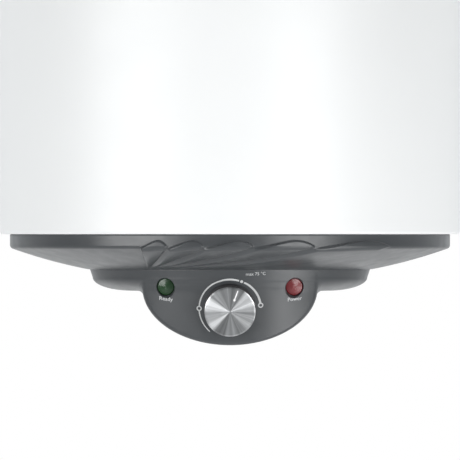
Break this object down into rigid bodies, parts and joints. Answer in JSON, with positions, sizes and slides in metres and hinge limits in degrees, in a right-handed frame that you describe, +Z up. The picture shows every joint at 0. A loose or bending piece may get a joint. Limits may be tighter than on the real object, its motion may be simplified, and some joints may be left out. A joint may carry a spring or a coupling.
{
  "type": "tank water heater",
  "caption": "Round wall-hung storage water heater: white steel casing, grey stepped bottom cap with a half-moon control panel, knob and pilot lamps, pipe stubs below.",
  "frame": {"origin": "middle of the two wall fixing holes, on the wall's face", "axes": "+Z up along the tank, +Y into the wall, +X to the right seen from the room"},
  "size_m": [0.45, 0.4649, 0.8014],
  "materials": {
    "white_enamel": "gloss",
    "cap_grey": "satin",
    "foam": "matte",
    "tank_enamel": "gloss",
    "bare_steel": "satin",
    "zinc_steel": "satin",
    "gasket_rubber": "matte",
    "copper": "satin",
    "brass": "satin",
    "magnesium": "matte",
    "ivory_plastic": "satin",
    "knob_dark": "satin",
    "knob_metal": "brushed",
    "pointer_white": "satin",
    "brown_bakelite": "satin",
    "button_red": "gloss",
    "lens_green": "gloss",
    "lens_red": "gloss",
    "wire_brown": "satin",
    "wire_black": "satin",
    "wire_blue": "satin",
    "wire_earth": "satin",
    "black_nylon": "matte",
    "ring_blue": "gloss",
    "ring_red": "gloss"
  },
  "bodies": {
    "heater": {"outer_casing": "white_enamel", "top_cap": "cap_grey", "bottom_cap": "cap_grey", "insulation_foam": "foam", "tank_shell": "tank_enamel", "tank_top_dome": "tank_enamel", "tank_bottom_dome": "tank_enamel", "flange_neck": "bare_steel", "flange_gasket": "gasket_rubber", "flange_plate": "zinc_steel", "flange_studs": "zinc_steel", "flange_nuts": "zinc_steel", "heating_element": "copper", "element_terminals": "brass", "thermowell": "bare_steel", "thermostat_bulb": "copper", "capillary_tube": "copper", "anode_rod": "magnesium", "anode_core": "bare_steel", "anode_nut": "zinc_steel", "thermostat_body": "ivory_plastic", "thermostat_screws": "zinc_steel", "thermal_cutout": "brown_bakelite", "terminal_block": "ivory_plastic", "terminal_screws": "brass", "earth_terminal": "brass", "green_lens": "lens_green", "green_lamp_body": "ivory_plastic", "red_lens": "lens_red", "red_lamp_body": "ivory_plastic", "live_wire": "wire_brown", "switched_wire": "wire_black", "element_wire": "wire_black", "neutral_wire": "wire_blue", "earth_wire": "wire_earth", "green_lamp_wire": "wire_black", "red_lamp_wire": "wire_black", "cable_gland": "black_nylon", "gland_locknut": "black_nylon", "cold_inlet_pipe": "zinc_steel", "inlet_diffuser": "black_nylon", "hot_outlet_pipe": "zinc_steel", "cold_ring": "ring_blue", "hot_ring": "ring_red", "cap_pillars": "bare_steel", "cap_screws": "zinc_steel", "wall_bracket": "zinc_steel", "bracket_studs": "zinc_steel", "bracket_nuts": "zinc_steel", "wall_spacer": "black_nylon"},
    "knob": {"knob_body": "knob_dark", "knob_face": "knob_metal", "knob_pointer": "pointer_white", "knob_clip": "zinc_steel", "thermostat_spindle": "bare_steel"},
    "reset": {"reset_button": "button_red"}
  },
  "joints": [
    {"name": "knob_turn", "type": "hinge", "parent": "heater", "child": "knob", "pos_m": [0, -0.36653, -0.62238], "axis": [0, 0.9744, 0.225], "range_deg": [-161, 64]},
    {"name": "reset_push", "type": "slide", "parent": "heater", "child": "reset", "axis": [0, 0, 1], "range_m": [0, 0.0015], "stiffness_N_per_m": 800}
  ]
}
